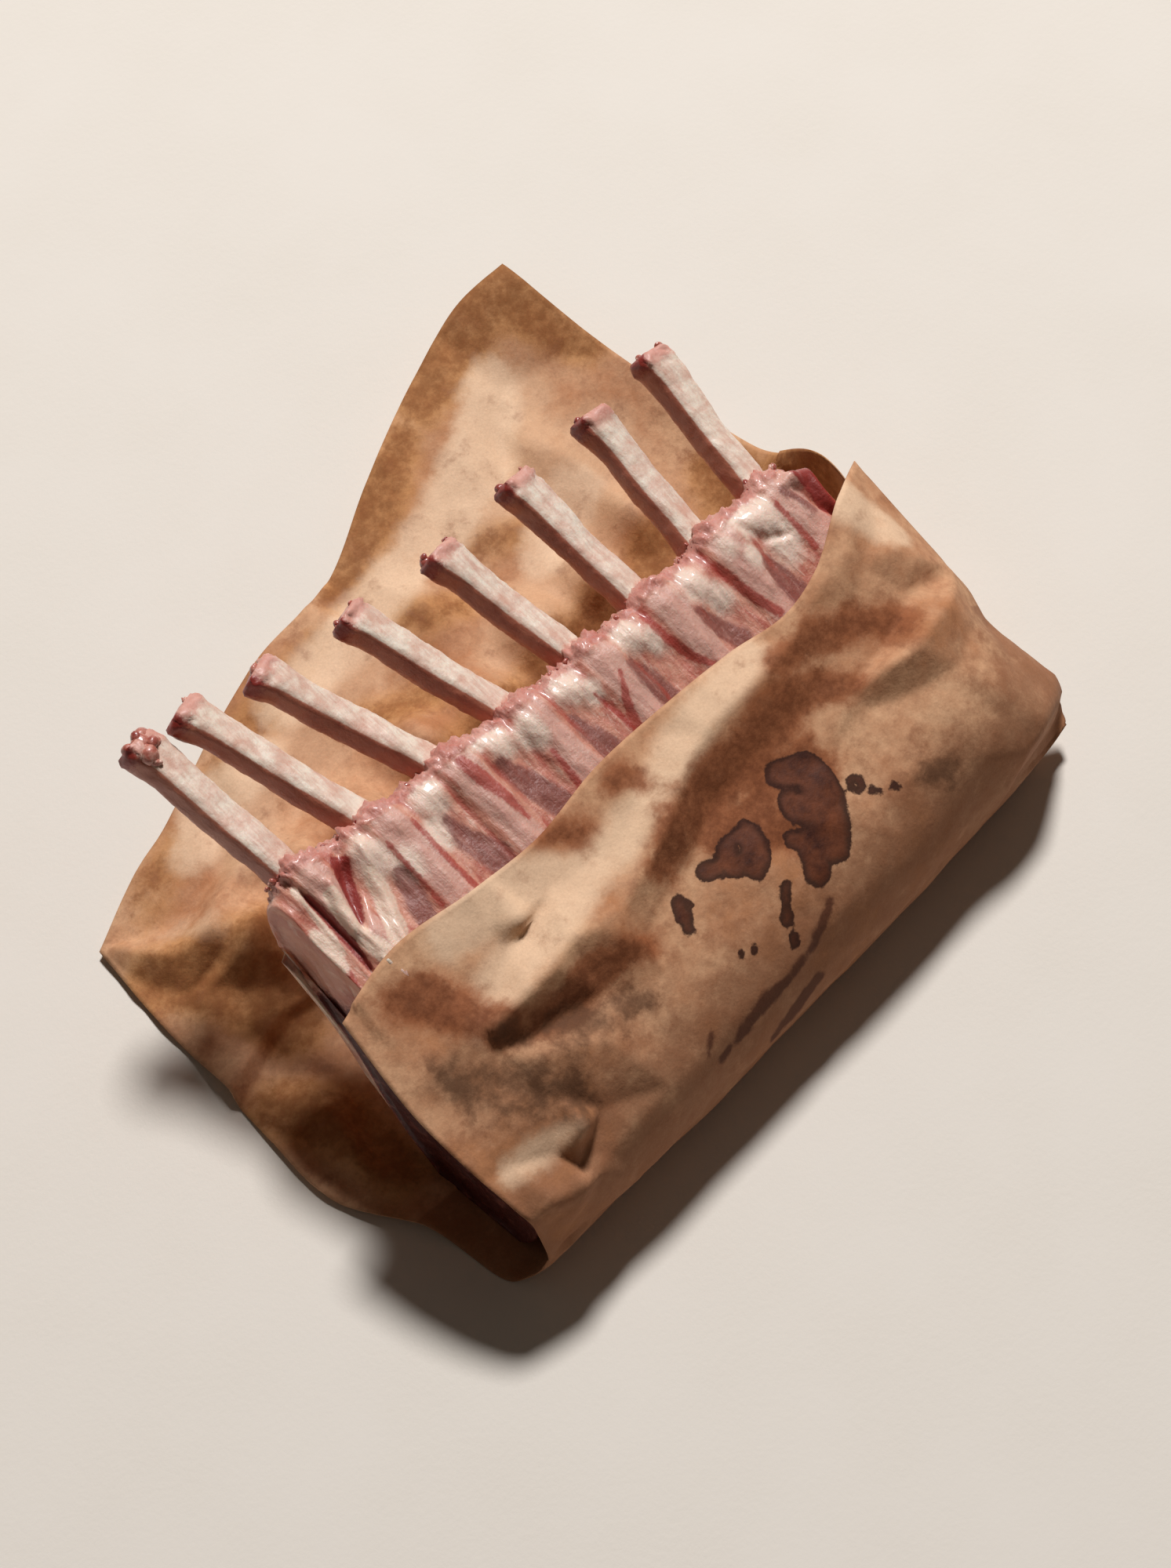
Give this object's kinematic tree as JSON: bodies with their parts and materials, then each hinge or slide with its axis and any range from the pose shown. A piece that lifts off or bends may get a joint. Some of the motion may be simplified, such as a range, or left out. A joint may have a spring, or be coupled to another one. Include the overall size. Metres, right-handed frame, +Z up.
{
  "type": "raw rack of lamb in butcher paper",
  "caption": "Raw frenched rack of lamb, bare rib bones standing out of a strip of meat, lying in an open fold of butcher's paper.",
  "frame": {"origin": "middle of the footprint's box, on the surface the paper rests on", "axes": "+X runs along the row of ribs, +Y is the way the bone tips point, away from the paper's fold, +Z is up"},
  "size_m": [0.2645, 0.2381, 0.0937],
  "materials": {
    "butcher_paper": "uncoated brown kraft paper, creased, stained dark with meat juice and grease",
    "lamb_meat": "raw lamb under a wet pale membrane, pink to mauve, dark red where muscle shows",
    "fat_cap": "raw lamb fat, cream to pink, moist",
    "rib_bone": "scraped raw bone, pale grey-cream with dark red tissue left on its sides and tip"
  },
  "bodies": {
    "root": {"butcher_paper": "butcher_paper", "lamb_meat": "lamb_meat", "fat_cap": "fat_cap", "rib_bone_1": "rib_bone", "rib_bone_2": "rib_bone", "rib_bone_3": "rib_bone", "rib_bone_4": "rib_bone", "rib_bone_5": "rib_bone", "rib_bone_6": "rib_bone", "rib_bone_7": "rib_bone", "rib_bone_8": "rib_bone"}
  },
  "joints": []
}
